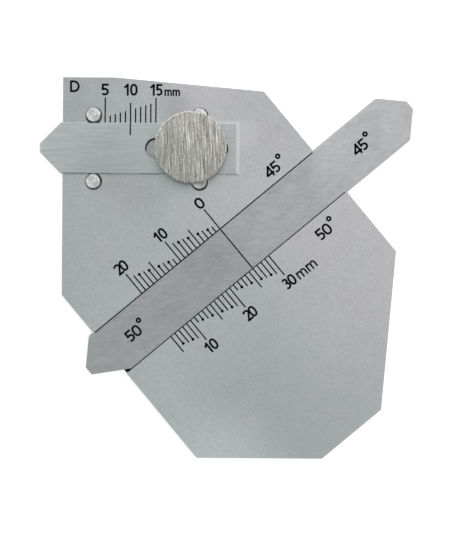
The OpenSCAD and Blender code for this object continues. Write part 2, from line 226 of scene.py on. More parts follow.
def mesh_from(name, vertices, faces, material):
    """Object of one mesh: vertices are an array in millimetres, faces a list of index rows."""
    mesh = bpy.data.meshes.new(name)
    mesh.from_pydata((vertices * MM).tolist(), [], [list(map(int, face)) for face in faces])
    mesh.materials.append(material)
    mesh.update()
    piece = bpy.data.objects.new(name, mesh)
    bpy.context.scene.collection.objects.link(piece)
    return piece


def joined(shapes):
    """Puts several (vertices, faces) shapes into one, moving each one's indices past the last."""
    vertices = np.concatenate([shape[0] for shape in shapes])
    starts = np.cumsum([0] + [len(shape[0]) for shape in shapes[:-1]])
    faces = [
        [index + start for index in face]
        for (_, rows), start in zip(shapes, starts)
        for face in rows
    ]
    return vertices, faces


def ribbon(points, width, low, high, closed=False):
    """Bar of a rectangular section carried along a line: at each point the two sides lie half the
    width away along the mitre, which is the sum of both neighbours' normals made long enough. The
    width is one number, or one for each point."""
    points = np.asarray(points, float)
    ahead = np.roll(points, -1, axis=0) - points
    if not closed:
        ahead[-1] = ahead[-2]
    ahead /= np.linalg.norm(ahead, axis=1, keepdims=True)
    behind = np.roll(ahead, 1, axis=0)
    if not closed:
        behind[0] = ahead[0]
    normal_ahead = np.column_stack([-ahead[:, 1], ahead[:, 0]])
    normal_behind = np.column_stack([-behind[:, 1], behind[:, 0]])
    mitre = normal_ahead + normal_behind
    mitre /= np.linalg.norm(mitre, axis=1, keepdims=True)
    mitre *= np.reshape(width, (-1, 1)) / 2 / np.sum(mitre * normal_ahead, axis=1, keepdims=True)
    count = len(points)
    sides = [(mitre, low), (-mitre, low), (-mitre, high), (mitre, high)]
    vertices = np.concatenate(
        [np.column_stack([points + side, np.full(count, level)]) for side, level in sides]
    )
    faces = []
    for step in range(count if closed else count - 1):
        after = (step + 1) % count
        for corner in range(4):
            start, end = corner * count, (corner + 1) % 4 * count
            faces.append([start + step, start + after, end + after, end + step])
    if not closed:
        last = count - 1
        faces.append([0, count, 2 * count, 3 * count])
        faces.append([3 * count + last, 2 * count + last, count + last, last])
    return vertices, faces


def full_turn(steps):
    """Angles of one turn in even steps."""
    return np.linspace(0, 2 * math.pi, steps, endpoint=False)


def unit_circle(turn):
    """Points of a circle of radius one: the cosine and the sine of each angle."""
    return np.column_stack([np.cos(turn), np.sin(turn)])


def disc(centre, diameter, low, high, sides=28):
    """Short round pillar: a circle at two levels, closed by a polygon at each end."""
    rim = unit_circle(full_turn(sides)) * diameter / 2 + centre
    vertices = np.concatenate(
        [np.column_stack([rim, np.full(sides, level)]) for level in (low, high)]
    )
    faces = []
    for step in range(sides):
        after = (step + 1) % sides
        faces.append([step, after, sides + after, sides + step])
    faces += [list(range(sides))[::-1], list(range(sides, 2 * sides))]
    return vertices, faces


def turned(points, angle, shift=(0.0, 0.0)):
    """Points of a drawing turned by an angle and then moved."""
    points = np.asarray(points, float)
    cos, sin = math.cos(angle), math.sin(angle)
    return points @ np.array([[cos, sin], [-sin, cos]]) + np.asarray(shift)


def along_slide(along, across):
    """Place on the plate of a point given along and across the throat slide."""
    return turned([[along, across]], SLIDE_ANGLE)[0]


def round_solid(node):
    """Centre of a round solid on the plate, and its radius, in millimetres."""
    low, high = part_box(node)
    centre = np.array([(low.x + high.x) / 2, (low.y + high.y) / 2]) / MM
    return centre, (high.x - low.x) / 2 / MM


def arc(centre, radii, start, end, steps=14):
    """Points of an elliptical arc from one angle in degrees to another."""
    return centre + radii * unit_circle(np.radians(np.linspace(start, end, steps)))


def rounded_loop(centre, radii, steps=56, power=2.35):
    """Closed curve a little fuller than an ellipse: cosine and sine raised to 2 over the power."""
    circle = unit_circle(full_turn(steps))
    return centre + radii * np.sign(circle) * np.abs(circle) ** (2 / power)


def figure_strokes(figure, height, stroke, squeeze):
    """Width of a figure and its pen strokes (closed, points) from its lower left corner. The pen is
    as wide as the stroke, so curves run half a stroke inside the cell, and straight ends are cut
    square. It draws 0, 1, 2, 3, 4 and 5."""
    half = stroke / 2
    top, wide = height - half, height * squeeze
    if figure == "0":
        width = 0.73 * wide
        loop = rounded_loop((width / 2, height / 2), (width / 2 - half, height / 2 - half))
        return width, [(True, loop)]
    if figure == "1":
        width = 0.47 * wide
        stem = [[width - half, 0.0], [width - half, height]]
        flag = [[0.045 * wide, 0.66 * height], [width - half, 0.905 * height]]
        return width, [(False, stem), (False, flag)]
    if figure == "2":
        width = 0.68 * wide
        radii = (0.54 * width - half, 0.28 * height - half)
        bowl = arc((0.46 * width, 0.72 * height), radii, 165, -32, 18)
        down = np.concatenate([bowl, [[0.55 * half + 0.08 * width, half]]])
        return width, [(False, down), (False, [[0.0, half], [width, half]])]
    if figure == "3":
        width = 0.645 * wide
        waist = 0.53 * height
        start = [[0.33 * width, waist]]
        radii = (0.47 * width - half, (top - waist) / 2)
        upper = arc((0.46 * width, (top + waist) / 2), radii, 148, -90, 18)
        radii = (0.56 * width - half, (waist - half) / 2)
        lower = arc((0.44 * width, (waist + half) / 2), radii, 90, -142, 20)
        return width, [
            (False, np.concatenate([upper, start])),
            (False, np.concatenate([start, lower])),
        ]
    if figure == "4":
        width = 0.76 * wide
        stem, bar = 0.745 * width, 0.29 * height
        return width, [
            (False, [[stem, 0.0], [stem, height]]),
            (False, [[0.0, bar], [width, bar]]),
            (False, [[0.62 * half, bar + 0.12 * half], [stem - 0.1 * half, top]]),
        ]
    width = 0.62 * wide
    radii = (0.57 * width - half, 0.325 * height - half)
    bowl = arc((0.43 * width, 0.325 * height), radii, 143, -138, 24)
    return width, [
        (False, [[0.97 * width, top], [0.18 * width, top]]),
        (False, [[0.185 * width, height], [0.15 * width, 0.47 * height]]),
        (False, bowl),
    ]


def number_strokes(text, height, stroke, squeeze, gap):
    """Strokes of a number centred on the origin, its figures a gap apart."""
    strokes, pen = [], 0.0
    for figure in text:
        width, lines = figure_strokes(figure, height, stroke, squeeze)
        strokes += [(closed, np.asarray(points) + [pen, -height / 2]) for closed, points in lines]
        pen += width + gap
    return [(closed, points - [(pen - gap) / 2, 0.0]) for closed, points in strokes]


def unit_strokes(height, bay, between, stroke):
    """Two small m letters on the baseline, of stems and half-round arches, from the origin."""
    half = stroke / 2
    strokes = []
    for letter in range(2):
        start = letter * (2 * bay + between)
        strokes.append((False, [[start, 0.0], [start, height]]))
        for arch in range(2):
            left = start + arch * bay
            bow = arc((left + bay / 2, height - half - bay / 2), (bay / 2, bay / 2), 180, 0, 12)
            strokes.append((False, np.concatenate([bow, [[left + bay, 0.0]]])))
    return strokes


def letter_d_strokes(height, stroke):
    """Letter for depth, centred on the origin: a stem and one wide bowl."""
    width, half = 0.82 * height, stroke / 2
    bowl = arc((0.4 * width, 0.0), (0.6 * width - half, height / 2 - half), -90, 90, 22)
    line = np.concatenate([[[half, half - height / 2]], bowl, [[half, height / 2 - half]]])
    return [(True, line - [width / 2, 0.0])]


class Nodes:
    """Adds nodes to a node tree, one line for each. An input takes a number, colour or socket."""

    def __init__(self, tree):
        self.tree = tree

    def add(self, kind, operation=None, **inputs):
        """New node, set to one of its operations, with what its named inputs take."""
        node = self.tree.nodes.new("ShaderNode" + kind)
        if operation:
            node.operation = operation
        for name, value in inputs.items():
            self.put(node.inputs[name], value)
        return node

    def put(self, socket, value):
        """Links a socket to an input, or writes a constant into it."""
        if isinstance(value, bpy.types.NodeSocket):
            self.tree.links.new(value, socket)
        else:
            socket.default_value = value

    def place(self, angle=0.0, centre=(0.0, 0.0)):
        """Object coordinates in millimetres about a centre, turned back by an angle."""
        mapping = self.add(
            "Mapping", Vector=self.add("TexCoord").outputs["Object"],
            Location=(centre[0] * MM, centre[1] * MM, 0.0), Rotation=(0.0, 0.0, angle),
            Scale=(MM, MM, MM),
        )
        mapping.vector_type = "TEXTURE"
        return mapping.outputs["Vector"]

    def vector(self, operation, first, second=None):
        """One vector operation. A length and a dot product give a number."""
        node = self.add("VectorMath", operation)
        self.put(node.inputs[0], first)
        if second is not None:
            self.put(node.inputs["Scale" if operation == "SCALE" else 1], second)
        return node.outputs["Value" if operation in ("LENGTH", "DOT_PRODUCT") else "Vector"]

    def radius(self, place):
        """Distance of a place from the upright axis through its centre."""
        return self.vector("LENGTH", self.vector("MULTIPLY", place, FLAT))

    def axes(self, vector):
        """X, Y and Z of a vector, by name."""
        return self.add("SeparateXYZ", Vector=vector).outputs

    def math(self, operation, *values):
        """One operation on numbers."""
        node = self.add("Math", operation)
        for socket, value in zip(node.inputs, values):
            self.put(socket, value)
        return node.outputs["Value"]

    def noise(self, place, scale, detail=2.0, roughness=0.55, distortion=0.0):
        """Noise with so many waves to the millimetre along each axis."""
        texture = self.add(
            "TexNoise", Vector=self.vector("MULTIPLY", place, scale), Scale=1.0, Detail=detail,
            Roughness=roughness, Distortion=distortion,
        )
        return texture.outputs["Fac"]

    def ranged(self, value, low, high, start=0.3, end=0.7):
        """Maps a value's usual range, from start to end, to the two numbers given."""
        limits = {"From Min": start, "From Max": end, "To Min": low, "To Max": high}
        return self.add("MapRange", Value=value, **limits).outputs["Result"]

    def rise(self, value, start=0.3, end=0.7):
        """Goes from zero at the start of a value's range to one at its end."""
        return self.ranged(value, 0.0, 1.0, start, end)

    def waver(self, value, share):
        """Factor that goes up and down by a share round one, as the value does."""
        return self.ranged(value, 1 - share, 1 + share)

    def product(self, first, *others):
        """Product of several factors."""
        for other in others:
            first = self.math("MULTIPLY", first, other)
        return first

    def mix(self, factor, first, second):
        """Colour between two colours."""
        node = self.add("Mix")
        node.data_type = "RGBA"
        self.put(node.inputs["Factor"], factor)
        for name, colour in (("A", first), ("B", second)):
            constant = not isinstance(colour, bpy.types.NodeSocket)
            self.put(node.inputs[name], (*colour, 1.0) if constant else colour)
        return node.outputs["Result"]


def new_material(name, metallic=0.0):
    """Node material, its node builder and its principled shader."""
    material = bpy.data.materials.new(name)
    material.use_nodes = True
    shader = material.node_tree.nodes["Principled BSDF"]
    shader.inputs["Metallic"].default_value = metallic
    return material, Nodes(material.node_tree), shader


def finish(nodes, shader, colour, roughness, height=None, strength=0.5, distance=0.004):
    """Links colour and roughness to the shader, and a height in millimetres through a bump."""
    nodes.put(shader.inputs["Base Color"], colour)
    nodes.put(shader.inputs["Roughness"], roughness)
    if height is not None:
        bump = nodes.add("Bump", Strength=strength, Distance=distance * MM, Height=height)
        nodes.put(shader.inputs["Normal"], bump.outputs["Normal"])


def shaded(nodes, tone, node, shades):
    """Tone times the factors of all shades, which are painted light and shade, and which fade out
    from the middle of a solid's thickness to its back. Each shade is a function that adds the nodes
    of its own factor."""
    if not shades:
        return tone
    low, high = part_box(node)
    height = nodes.axes(nodes.place())["Z"]
    front = nodes.rise(height, low.z / MM, (low.z + high.z) / 2 / MM)
    change = nodes.math("SUBTRACT", nodes.product(*[shade(nodes) for shade in shades]), 1.0)
    return nodes.product(tone, nodes.math("MULTIPLY_ADD", change, front, 1.0))


def satin_steel(
    node, colour, tint, roughness, angle=0.0, streak=0.06, length=1.0, shades=(), blush=None
):
    """Satin stainless of one solid: two close greys in soft clouds, patches a few millimetres wide,
    streaks along the grain, a fine tooth under them, and the solid's painted light and shade. Blush
    is a painted cast of the warmer light that its colour takes on towards the upper right."""
    material, nodes, shader = new_material(f"satin {node}", 1.0)
    place = nodes.place(angle)
    clouds = nodes.noise(place, (0.11, 0.11, 0.11), 3.0)
    patches = nodes.noise(place, (0.3, 0.42, 0.4), 3.0, 0.6)
    streaks = nodes.noise(place, (0.9 / length, 3.2, 3.2), 3.0, 0.6)
    tooth = nodes.noise(place, (1.8 / length, 10.0, 10.0), 2.0, 0.6)
    tone = nodes.product(
        nodes.waver(patches, 0.025), nodes.waver(streaks, streak), nodes.waver(tooth, streak * 1.2)
    )
    tone = shaded(nodes, tone, node, shades)
    shade = nodes.mix(nodes.rise(clouds, 0.4, 0.6), colour, tint)
    # Painted tint of the warmer light towards the upper right
    if blush:
        level = nodes.vector("DOT_PRODUCT", nodes.place(), UPPER_RIGHT)
        cast = nodes.mix(nodes.rise(level, 3.0, 13.0), (1.0, 1.0, 1.0), blush)
        shade = nodes.vector("MULTIPLY", shade, cast)
    rough = nodes.product(nodes.waver(tooth, 0.45), nodes.waver(patches, 0.06), roughness)
    height = nodes.math("MULTIPLY_ADD", tooth, 0.5, streaks)
    finish(nodes, shader, nodes.vector("SCALE", shade, tone), rough, height)
    return material


def painted_corner_shade(nodes):
    """Painted shade: darkens the plate towards the corner that lies farthest above the throat
    slide.
    """
    return nodes.ranged(nodes.axes(nodes.place(SLIDE_ANGLE))["Y"], 1.0, 0.87, 27.0, 43.0)


def slot_painted_shadow(nodes):
    """Painted shadow: darkens, unevenly, the strip of the plate that only shows through the depth
    slide's slot.
    """
    place = nodes.place(0.0, (-14.5, DEPTH_CENTRE))
    apart = nodes.axes(place)
    across, along = (nodes.math("ABSOLUTE", apart[axis]) for axis in "YX")
    outside = nodes.math("MAXIMUM", nodes.rise(across, 1.9, 2.2), nodes.rise(along, 8.0, 8.5))
    # Painted shadow on the slot's floor, uneven in strength
    slot_shadow = nodes.ranged(nodes.noise(place, (0.9, 1.4, 1.0), 3.0, 0.7), 0.62, 0.9)
    return nodes.math("MAXIMUM", outside, slot_shadow)


def painted_edge_highlight(nodes):
    """Painted highlight: lightens a narrow band of the plate along the depth slide's upper edge,
    towards its end.
    """
    apart = nodes.axes(nodes.place(0.0, (0.0, DEPTH_HIGH + 0.2)))
    beside = nodes.ranged(nodes.math("ABSOLUTE", apart["Y"]), 0.2, 0.0, 0.15, 0.55)
    begun = nodes.product(beside, nodes.rise(apart["X"], -10.0, -5.0))
    return nodes.math("MULTIPLY_ADD", begun, nodes.ranged(apart["X"], 1.0, 0.0, 0.2, 0.9), 1.0)


def low_edge_painted_light(nodes):
    """Painted highlight: lightens two lengths of the depth slide's lower edge."""
    apart = nodes.axes(nodes.place(0.0, (0.0, DEPTH_LOW)))
    painted_highlight = 0.0
    # Each length gets a painted highlight that fades out towards its ends
    for middle, half in LIT_EDGE_LENGTHS:
        away = nodes.math("ABSOLUTE", nodes.math("SUBTRACT", apart["X"], middle))
        painted_highlight = nodes.math("ADD", painted_highlight, nodes.ranged(away, 0.75, 0.0, 0.6 * half, half))
    return nodes.math("MULTIPLY_ADD", painted_highlight, nodes.ranged(apart["Y"], 1.0, 0.0, 0.1, 0.16), 1.0)


def depth_slide_painted_light(nodes):
    """Painted light: lightens the depth slide a little towards its nose, and puts a painted
    highlight on its end bevel.
    """
    along = nodes.axes(nodes.place())["X"]
    # Painted highlight on the end bevel
    bevel = nodes.ranged(along, 1.0, 1.6, DEPTH_END - 0.8, DEPTH_END - 0.4)
    return nodes.product(nodes.ranged(along, 1.07, 0.93, -38.0, 2.0), bevel)


def painted_light_spot(spot):
    """Painted light where the change is above nought, painted shade where it is below: lighter or
    darker by a share round a centre, fading out at the radius.
    """
    centre, radius, change = spot

    def shade(nodes):
        away = nodes.radius(nodes.place(0.0, centre))
        fade = nodes.ranged(away, 1.0 + change, 1.0, 0.2 * radius, radius)
        fade.node.interpolation_type = "SMOOTHSTEP"
        return fade

    return shade


def throat_steel(node, colour, tint, nose_colour, roughness, shades):
    """Steel of the throat slide: a darker body and a lighter measuring nose, whose lightness is
    painted light, covered with short crossing scratches that curl a little."""
    material, nodes, shader = new_material(f"satin {node}", 1.0)
    place = nodes.place(SLIDE_ANGLE)
    clouds = nodes.noise(place, (0.09, 0.14, 0.1), 3.0, 0.6)
    patches = nodes.noise(place, (0.22, 0.35, 0.3), 3.0, 0.6, 0.6)
    scratches = nodes.noise(nodes.place(math.radians(8)), (0.5, 2.6, 2.6), 3.0, 0.65, 0.5)
    tooth = nodes.noise(place, (1.5, 9.0, 9.0), 2.0, 0.6)
    uneven = nodes.math("MULTIPLY_ADD", patches, 6.0, nodes.axes(place)["X"])
    body = nodes.mix(nodes.rise(clouds, 0.4, 0.6), colour, tint)
    # Painted light: the measuring nose takes a lighter colour
    shade = nodes.mix(nodes.rise(uneven, 17.5, 26.0), body, nose_colour)
    tone = nodes.product(
        nodes.waver(patches, 0.06), nodes.waver(scratches, 0.085), nodes.waver(tooth, 0.075)
    )
    tone = shaded(nodes, tone, node, shades)
    rough = nodes.product(nodes.waver(scratches, 0.12), roughness)
    height = nodes.math("MULTIPLY_ADD", tooth, 0.5, scratches)
    finish(nodes, shader, nodes.vector("SCALE", shade, tone), rough, height)
    return material


def turned_steel(name, colour, roughness, centre, top, shadow_side=None):
    """Lathe-turned steel: fine rings about its own axis, a cloudy face with two sectors of painted
    highlight, and reflections drawn out round that axis. A guide pin's bevel is darkened by painted
    shade, a little more on the side of its painted shadow."""
    material, nodes, shader = new_material(name, 1.0)
    place = nodes.place(0.0, centre)
    flat = nodes.vector("MULTIPLY", place, FLAT)
    radius = nodes.vector("LENGTH", flat)
    apart = nodes.axes(place)
    squared = nodes.product(radius, radius)
    # Painted highlight: two opposite sectors of the face are made lighter
    painted_gleam = nodes.math("DIVIDE", nodes.product(apart["X"], apart["Y"]), squared)
    texture = nodes.add("TexNoise", Scale=7.0, Detail=2.0)
    texture.noise_dimensions = "1D"
    nodes.put(texture.inputs["W"], radius)
    rings = texture.outputs["Fac"]
    clouds = nodes.noise(place, (2.2, 2.2, 2.2), 3.0, 0.7, 0.8)
    tone = nodes.product(
        nodes.ranged(clouds, 0.62, 1.2, 0.36, 0.64), nodes.waver(rings, 0.05),
        nodes.ranged(painted_gleam, 0.84, 1.16, -0.5, 0.5),
    )
    # Painted shade: the pin's top bevel is darkened, most on the side of its shadow
    if shadow_side is not None:
        lean = (*turned([[0.03, 0.0]], math.radians(shadow_side))[0], 0.0)
        off_centre = nodes.vector("LENGTH", nodes.vector("ADD", flat, lean))
        bevel_shade = nodes.ranged(off_centre, 1.0, 0.02, BRIGHT_RADIUS - 0.03, BRIGHT_RADIUS + 0.03)
        wall = nodes.rise(nodes.math("SUBTRACT", top, apart["Z"]), 0.16, 0.2)
        tone = nodes.product(tone, nodes.math("MAXIMUM", bevel_shade, wall))
    rough = nodes.product(nodes.waver(rings, 0.15), roughness)
    finish(nodes, shader, nodes.vector("SCALE", colour, tone), rough, rings, 0.4, 0.01)
    nodes.put(shader.inputs["Tangent"], nodes.vector("CROSS_PRODUCT", flat, (0.0, 0.0, -1.0)))
    shader.inputs["Anisotropic"].default_value = 0.35
    return material


def knurled_steel(name, colour, tint, roughness, centre, rim_radius, top):
    """Nickel-toned steel with a coarse straight brush on its top: strokes of several widths that
    differ in tone, in roughness and in height, run one way and break off, with specks between them.
    From the rim radius outwards the top edge is smoother from use and lightened by a painted
    highlight, and the knurl under it is plain and a little dull."""
    material, nodes, shader = new_material(name, 1.0)
    place = nodes.place(BRUSH_ANGLE, centre)
    broad = nodes.noise(place, (0.1, 1.3, 1.0), 2.0, 0.6)
    strokes = nodes.noise(place, (0.16, 4.6, 1.0), 2.0, 0.75)
    fine = nodes.noise(place, (0.35, 9.0, 1.0), 1.0, 0.6)
    specks = nodes.noise(place, (2.4, 5.2, 2.0), 1.0, 0.6)
    hues = nodes.noise(place, (0.2, 2.6, 1.0), 2.0, 0.7)
    brushed = nodes.product(
        nodes.ranged(strokes, 0.5, 1.5, 0.32, 0.68), nodes.waver(fine, 0.32),
        nodes.waver(specks, 0.26),
    )
    face = nodes.rise(nodes.axes(place)["Z"], top - 0.4, top - 0.25)
    dulled = nodes.waver(specks, 0.12)
    tone = nodes.math("MULTIPLY_ADD", nodes.math("SUBTRACT", brushed, dulled), face, dulled)
    rim = nodes.rise(nodes.radius(place), rim_radius - 0.06, rim_radius + 0.04)
    # Painted highlight on the rim of the top; the same mask also makes the rim smoother
    painted_highlight = nodes.product(face, rim)
    tone = nodes.product(tone, nodes.waver(broad, 0.07), nodes.ranged(painted_highlight, 1.0, 1.8, 0.0, 1.0))
    shade = nodes.mix(nodes.rise(hues, 0.4, 0.6), colour, tint)
    polish = nodes.ranged(painted_highlight, 1.0, 0.6, 0.0, 1.0)
    rough = nodes.product(nodes.waver(strokes, -0.2), polish, roughness)
    height = nodes.math("MULTIPLY_ADD", specks, 0.4, strokes)
    finish(nodes, shader, nodes.vector("SCALE", shade, tone), rough, height, 0.7, 0.03)
    return material


def black_paint(name, colour):
    """Matt black filling paint with a faint unevenness."""
    material, nodes, shader = new_material(name)
    clouds = nodes.noise(nodes.place(), (2.0, 2.0, 2.0))
    lighter = [value * 1.8 for value in colour]
    shade = nodes.mix(nodes.rise(clouds), colour, lighter)
    finish(nodes, shader, shade, nodes.ranged(clouds, 0.55, 0.8))
    shader.inputs["Specular IOR Level"].default_value = 0.05
    return material


class GaugeSteelSettings(PropertyGroup):
    """Colours and roughness of the metals"""

    plate_colour: FloatVectorProperty(
        name="Plate", description="Colour of the plate", subtype="COLOR",
        default=(0.586, 0.638, 0.638),
    )
    plate_tint: FloatVectorProperty(
        name="Plate clouds", description="Second colour of the plate's clouds", subtype="COLOR",
        default=(0.611, 0.636, 0.643),
    )
    # The blush is a painted tint of the warmer light at the plate's upper right
    plate_blush: FloatVectorProperty(
        name="Plate blush", description="Cast of the plate's colour at its upper right",
        default=(1.03, 0.998, 1.025),
    )
    plate_roughness: FloatProperty(
        name="Plate roughness", description="Roughness of the plate", default=0.25, min=0.05,
        max=1.0,
    )
    depth_colour: FloatVectorProperty(
        name="Depth slide", description="Colour of the depth slide", subtype="COLOR",
        default=(0.552, 0.602, 0.602),
    )
    depth_tint: FloatVectorProperty(
        name="Depth slide clouds", description="Second colour of the depth slide", subtype="COLOR",
        default=(0.57, 0.605, 0.61),
    )
    slide_colour: FloatVectorProperty(
        name="Throat slide", description="Colour of the throat slide", subtype="COLOR",
        default=(0.466, 0.492, 0.498),
    )
    slide_tint: FloatVectorProperty(
        name="Throat slide clouds", description="Second colour of the throat slide",
        subtype="COLOR", default=(0.476, 0.487, 0.498),
    )
    # The nose's lighter colour is painted light
    nose_colour: FloatVectorProperty(
        name="Throat slide nose", description="Colour of the throat slide's nose", subtype="COLOR",
        default=(0.538, 0.56, 0.57),
    )
    slide_roughness: FloatProperty(
        name="Slide roughness", description="Roughness of both slides", default=0.31, min=0.05,
        max=1.0,
    )
    pin_colour: FloatVectorProperty(
        name="Pins", description="Colour of turned pins, stud and washer", subtype="COLOR",
        default=(0.84, 0.87, 0.865),
    )
    pin_roughness: FloatProperty(
        name="Pin roughness", description="Roughness of turned steel", default=0.32, min=0.05,
        max=1.0,
    )


class GaugeMarkSettings(PropertyGroup):
    """Sizes and colour of the scales and figures"""

    line_width: FloatProperty(
        name="Line width", description="Width of a painted graduation in millimetres", default=0.27,
        min=0.05,
    )
    dot_spread: FloatProperty(
        name="Dot spread", description="How much wider the paint of a dot is than its pit",
        default=0.06, min=0.0,
    )
    figure_height: FloatProperty(
        name="Figure height", description="Height of the figures in millimetres", default=2.34,
        min=0.5,
    )
    figure_stroke: FloatProperty(
        name="Figure stroke", description="Width of the figures' strokes in millimetres",
        default=0.42, min=0.05,
    )
    gap_width: FloatProperty(
        name="Gap width", description="Width of the black line beside the slide", default=0.19,
        min=0.02,
    )
    paint_colour: FloatVectorProperty(
        name="Paint", description="Colour of the filling paint", subtype="COLOR",
        default=(0.0015, 0.0015, 0.002),
    )


class GaugeNutSettings(PropertyGroup):
    """Shape and finish of the thumb nut"""

    teeth: IntProperty(name="Teeth", description="Teeth of the knurl", default=88, min=20)
    knurl_depth: FloatProperty(
        name="Knurl depth", description="Depth of the knurl in millimetres", default=0.34, min=0.02
    )
    bevel: FloatProperty(
        name="Bevel", description="Bevel round the head in millimetres", default=0.28, min=0.05
    )
    dome: FloatProperty(
        name="Dome", description="Rise of the nut's slightly domed top in millimetres",
        default=0.16, min=0.0,
    )
    colour: FloatVectorProperty(
        name="Nut", description="Colour of the nut", subtype="COLOR", default=(0.533, 0.523, 0.488)
    )
    tint: FloatVectorProperty(
        name="Nut streaks", description="Second colour of the nut", subtype="COLOR",
        default=(0.508, 0.534, 0.487),
    )
    roughness: FloatProperty(
        name="Nut roughness", description="Roughness of the nut", default=0.42, min=0.05, max=1.0
    )


class GaugeStageSettings(PropertyGroup):
    """Floor, lamps and camera"""

    camera_height: FloatProperty(
        name="Camera height", description="Distance of the camera above the plate's front",
        default=0.42, min=0.2, unit="LENGTH",
    )
    frame_height: FloatProperty(
        name="Frame height", description="Height of the picture at the plate's front",
        default=0.10828, min=0.02, unit="LENGTH",
    )
    aim: FloatVectorProperty(
        name="Aim", description="Point of the plate under the camera", size=2, unit="LENGTH",
        default=(-0.00134, -0.00509),
    )
    roll: FloatProperty(
        name="Roll", description="Turn of the camera about its line of sight",
        default=math.radians(0.4), unit="ROTATION",
    )
    sky: FloatProperty(
        name="Sky", description="Strength of the surrounding light straight above", default=0.66,
        min=0.0,
    )
    sky_lean: FloatProperty(
        name="Sky lean", description="How fast the light grows towards the upper right",
        default=1.5, min=0.0,
    )
    side_glow: FloatProperty(
        name="Side glow", description="Light added low down beyond the upper left of the picture",
        default=1.5, min=0.0,
    )
    lamp: FloatProperty(name="Lamp", description="Power of the key lamp", default=0.2, min=0.0)


class WELDGAUGE_OT_steel(Operator):
    """Give every solid of the frame its steel, liner or spring finish"""

    bl_idname = "weld_gauge.steel"
    bl_label = "Finish the steel"

    def execute(self, context):
        settings = context.scene.weld_gauge_steel
        finishes = {
            "body_plate": satin_steel(
                "body_plate", settings.plate_colour, settings.plate_tint, settings.plate_roughness,
                SLIDE_ANGLE, blush=settings.plate_blush,
                shades=(painted_corner_shade, slot_painted_shadow, painted_edge_highlight, *map(painted_light_spot, PLATE_LIGHT_AND_SHADE)),
            ),
            "throat_slide": throat_steel(
                "throat_slide", settings.slide_colour, settings.slide_tint, settings.nose_colour,
                settings.slide_roughness, list(map(painted_light_spot, THROAT_LIGHT_AND_SHADE)),
            ),
            "depth_slide": satin_steel(
                "depth_slide", settings.depth_colour, settings.depth_tint,
                settings.slide_roughness, streak=0.07, length=14.0,
                shades=(depth_slide_painted_light, low_edge_painted_light, *map(painted_light_spot, DEPTH_LIGHT_AND_SHADE)),
            ),
            "slide_spring": satin_steel(
                "slide_spring", (0.3, 0.3, 0.32), (0.35, 0.34, 0.33), 0.3, SLIDE_ANGLE
            ),
            "groove_liner": black_paint("black liner", (0.006, 0.006, 0.006)),
        }
        for node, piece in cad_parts.items():
            if node not in finishes:
                finishes[node] = turned_steel(
                    f"turned {node}", settings.pin_colour, settings.pin_roughness,
                    round_solid(node)[0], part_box(node)[1].z / MM, PIN_SHADOW_SIDES.get(node),
                )
            piece.data.materials.clear()
            piece.data.materials.append(finishes[node])
        return {"FINISHED"}


def stepped_mark(steps):
    """Length of a graduation a number of steps past the last numbered one."""
    return FIRST_MARK + MARK_STEP * (steps - 1)


def throat_mark(reading):
    """Length of a throat graduation: long at the tens, middle at the fives, rising between."""
    if reading % 10 == 0:
        return LONG_MARK
    if reading % 10 == 5:
        return MIDDLE_MARK
    return stepped_mark(reading % 10)


def depth_mark(reading):
    """Length of a depth graduation: long at the ends, middle at the centre, rising between."""
    if reading == DEPTH_AT_INDEX:
        return MIDDLE_MARK
    if reading % 10 == 5:
        return LONG_MARK
    return stepped_mark(reading - DEPTH_READINGS[0])


def throat_graduation(reading, along, side, settings):
    """Paint of one throat graduation: a line out from the groove, with a dot if it is even."""
    low, high = PLATE_PAINT
    dotted = reading % 2 == 0 and reading % 10 != 0
    end = GROOVE_HALF + throat_mark(reading) - (DOT / 2 if dotted else 0.0)
    line = [along_slide(along, side * GROOVE_HALF), along_slide(along, side * end)]
    shapes = [ribbon(line, settings.line_width, low, high)]
    if dotted:
        shapes.append(disc(line[1], DOT + settings.dot_spread, low, high + PAINT_PROUD / 2))
    return shapes


class WELDGAUGE_OT_scales(Operator):
    """Fill the engraved graduations and index lines with black paint"""

    bl_idname = "weld_gauge.scales"
    bl_label = "Paint the scales"

    def execute(self, context):
        settings = context.scene.weld_gauge_marks
        width = settings.line_width
        paint = black_paint("filling paint", settings.paint_colour)
        shapes = []
        for reading in UPPER_READINGS:
            shapes += throat_graduation(reading, -reading, 1, settings)
        for reading in LOWER_READINGS:
            shapes += throat_graduation(reading, reading - LOWER_AT_INDEX, -1, settings)
        throat = mesh_from("throat_scale_paint", *joined(shapes), paint)
        shapes = []
        for reading in DEPTH_READINGS:
            x = DEPTH_INDEX + reading - DEPTH_AT_INDEX
            line = [[x, DEPTH_HIGH + SCALE_STOP], [x, DEPTH_HIGH + depth_mark(reading)]]
            shapes.append(ribbon(line, width, *PLATE_PAINT))
        depth = mesh_from("depth_scale_paint", *joined(shapes), paint)
        reach = SLIDE_HALF - INDEX_STOP
        line = [along_slide(0, -reach), along_slide(0, reach)]
        throat_index = mesh_from("throat_index_paint", *ribbon(line, width, *PLATE_PAINT), paint)
        x = DEPTH_INDEX + INDEX_SHIFT
        line = [[x, DEPTH_HIGH - end] for end in (DEPTH_INDEX_LENGTH, INDEX_STOP)]
        depth_index = mesh_from("depth_index_paint", *ribbon(line, width, *DEPTH_PAINT), paint)
        for piece, body, slot in (
            (throat, BODY, "satin_plate"),
            (depth, BODY, "satin_plate"),
            (throat_index, THROAT_BAR, "satin_slide"),
            (depth_index, DEPTH_BAR, "brushed_slide"),
        ):
            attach(piece, body)
        return {"FINISHED"}


def printed(strokes, angle, centre, width):
    """Thin paint bars along a drawing's strokes, turned and moved to their place on the front."""
    low, high = PLATE_FRONT - PRINT_DEPTH, PLATE_FRONT + PAINT_PROUD
    return [
        ribbon(turned(points, angle, centre), width, low, high, closed)
        for closed, points in strokes
    ]


